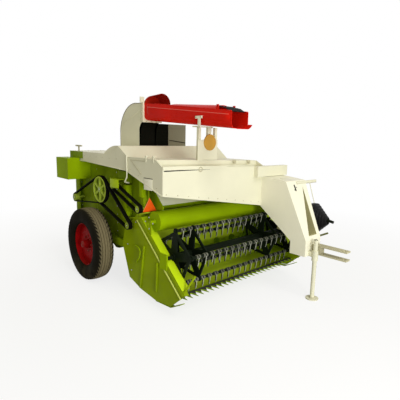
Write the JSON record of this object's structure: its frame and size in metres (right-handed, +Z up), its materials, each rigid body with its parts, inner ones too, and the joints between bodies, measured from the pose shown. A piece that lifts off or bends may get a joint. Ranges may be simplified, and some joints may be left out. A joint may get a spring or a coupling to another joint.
{
  "type": "towed straw reaper",
  "caption": "Towed straw reaper: tined reel and cutter header, threshing housing, chaff duct with spout, draft arm with clevis and parking jack, on tyred wheels.",
  "frame": {"origin": "on the ground, midway between the wheels and midway along the length", "axes": "+Z up, -Y the way the machine travels, +X to the machine's left"},
  "size_m": [2.396, 3.405, 2.3966],
  "materials": {
    "bare_steel": "satin",
    "belt_rubber": "matte",
    "black_plastic": "matte",
    "cream_paint": "satin",
    "dark_paint": "satin",
    "gold": "satin",
    "green_paint": "gloss",
    "grey_paint": "satin",
    "red_rim": "satin",
    "red_spout": "gloss",
    "reflector": "gloss",
    "tyre_rubber": "matte"
  },
  "bodies": {
    "frame": {"arm_beam": "cream_paint", "axle_beam": "dark_paint", "chaff_duct": "cream_paint", "chassis_frame": "green_paint", "clevis": "cream_paint", "deck": "cream_paint", "disc_bracket": "cream_paint", "draft_arm": "cream_paint", "drive_belts": "belt_rubber", "drive_pulleys": "green_paint", "drum_hood": "cream_paint", "duct_flange": "cream_paint", "front_deck": "cream_paint", "front_panel": "cream_paint", "front_wall": "cream_paint", "gearbox": "green_paint", "grey_box": "grey_paint", "guard_bar": "cream_paint", "guard_box": "green_paint", "header_pan": "green_paint", "header_pivots": "green_paint", "header_roll": "green_paint", "header_side_left": "green_paint", "header_side_right": "green_paint", "hitch_hook": "cream_paint", "intake_box": "black_plastic", "jack_sleeve": "cream_paint", "knife": "bare_steel", "knife_guards": "green_paint", "plain_disc": "gold", "pto_guard": "black_plastic", "rear_sills": "green_paint", "reel_arms": "dark_paint", "reflector": "reflector", "root_box": "cream_paint", "side_frame": "green_paint", "side_panel_left": "cream_paint", "side_panel_right": "cream_paint", "spout": "red_spout", "spout_cover": "red_spout", "spout_hood": "red_spout", "spout_rest": "cream_paint", "thresher_housing": "green_paint"},
    "wheel_right": {"tyre_right": "tyre_rubber", "rim_right": "red_rim"},
    "wheel_left": {"tyre_left": "tyre_rubber", "rim_left": "red_rim"},
    "reel": {"reel_frame": "dark_paint"},
    "tine_bar_1": {"tine_bar_1": "dark_paint"},
    "tine_bar_2": {"tine_bar_2": "dark_paint"},
    "tine_bar_3": {"tine_bar_3": "dark_paint"},
    "tine_bar_4": {"tine_bar_4": "dark_paint"},
    "tine_bar_5": {"tine_bar_5": "dark_paint"},
    "driveshaft": {"pto_shaft": "bare_steel"},
    "auger": {"auger": "green_paint"},
    "jack": {"jack_leg": "cream_paint"},
    "flap": {"spout_flap": "black_plastic"}
  },
  "joints": [
    {"name": "wheel_right_spin", "type": "hinge", "parent": "frame", "child": "wheel_right", "pos_m": [-1.08, 0.907, 0.47], "axis": [1, 0, 0], "continuous": true},
    {"name": "wheel_left_spin", "type": "hinge", "parent": "frame", "child": "wheel_left", "pos_m": [1.08, 0.907, 0.47], "axis": [1, 0, 0], "continuous": true},
    {"name": "reel_spin", "type": "hinge", "parent": "frame", "child": "reel", "pos_m": [0, -0.562, 0.611], "axis": [1, 0, 0], "continuous": true},
    {"name": "auger_spin", "type": "hinge", "parent": "frame", "child": "auger", "pos_m": [0, -0.113, 0.4], "axis": [1, 0, 0], "continuous": true},
    {"name": "shaft_spin", "type": "hinge", "parent": "frame", "child": "driveshaft", "pos_m": [0.86, 0.187, 1.21], "axis": [0.1285, -0.9667, -0.2213], "continuous": true},
    {"name": "jack_slide", "type": "slide", "parent": "frame", "child": "jack", "axis": [0, 0, 1], "range_m": [0, 0.33]},
    {"name": "flap_hinge", "type": "hinge", "parent": "frame", "child": "flap", "pos_m": [-0.45, -0.772, 2.181], "axis": [1, 0, 0], "range_deg": [-20, 10]},
    {"name": "bar_1_swivel", "type": "hinge", "parent": "reel", "child": "tine_bar_1", "pos_m": [0, -0.59382, 0.89925], "axis": [1, 0, 0], "continuous": true},
    {"name": "bar_2_swivel", "type": "hinge", "parent": "reel", "child": "tine_bar_2", "pos_m": [0, -0.84598, 0.66981], "axis": [1, 0, 0], "continuous": true},
    {"name": "bar_3_swivel", "type": "hinge", "parent": "reel", "child": "tine_bar_3", "pos_m": [0, -0.70568, 0.3591], "axis": [1, 0, 0], "continuous": true},
    {"name": "bar_4_swivel", "type": "hinge", "parent": "reel", "child": "tine_bar_4", "pos_m": [0, -0.36683, 0.39651], "axis": [1, 0, 0], "continuous": true},
    {"name": "bar_5_swivel", "type": "hinge", "parent": "reel", "child": "tine_bar_5", "pos_m": [0, -0.29769, 0.73034], "axis": [1, 0, 0], "continuous": true}
  ],
  "couplings": [
    {"joint": "bar_1_swivel", "follows": "reel_spin", "ratio": -1},
    {"joint": "bar_2_swivel", "follows": "reel_spin", "ratio": -1},
    {"joint": "bar_3_swivel", "follows": "reel_spin", "ratio": -1},
    {"joint": "bar_4_swivel", "follows": "reel_spin", "ratio": -1},
    {"joint": "bar_5_swivel", "follows": "reel_spin", "ratio": -1}
  ]
}
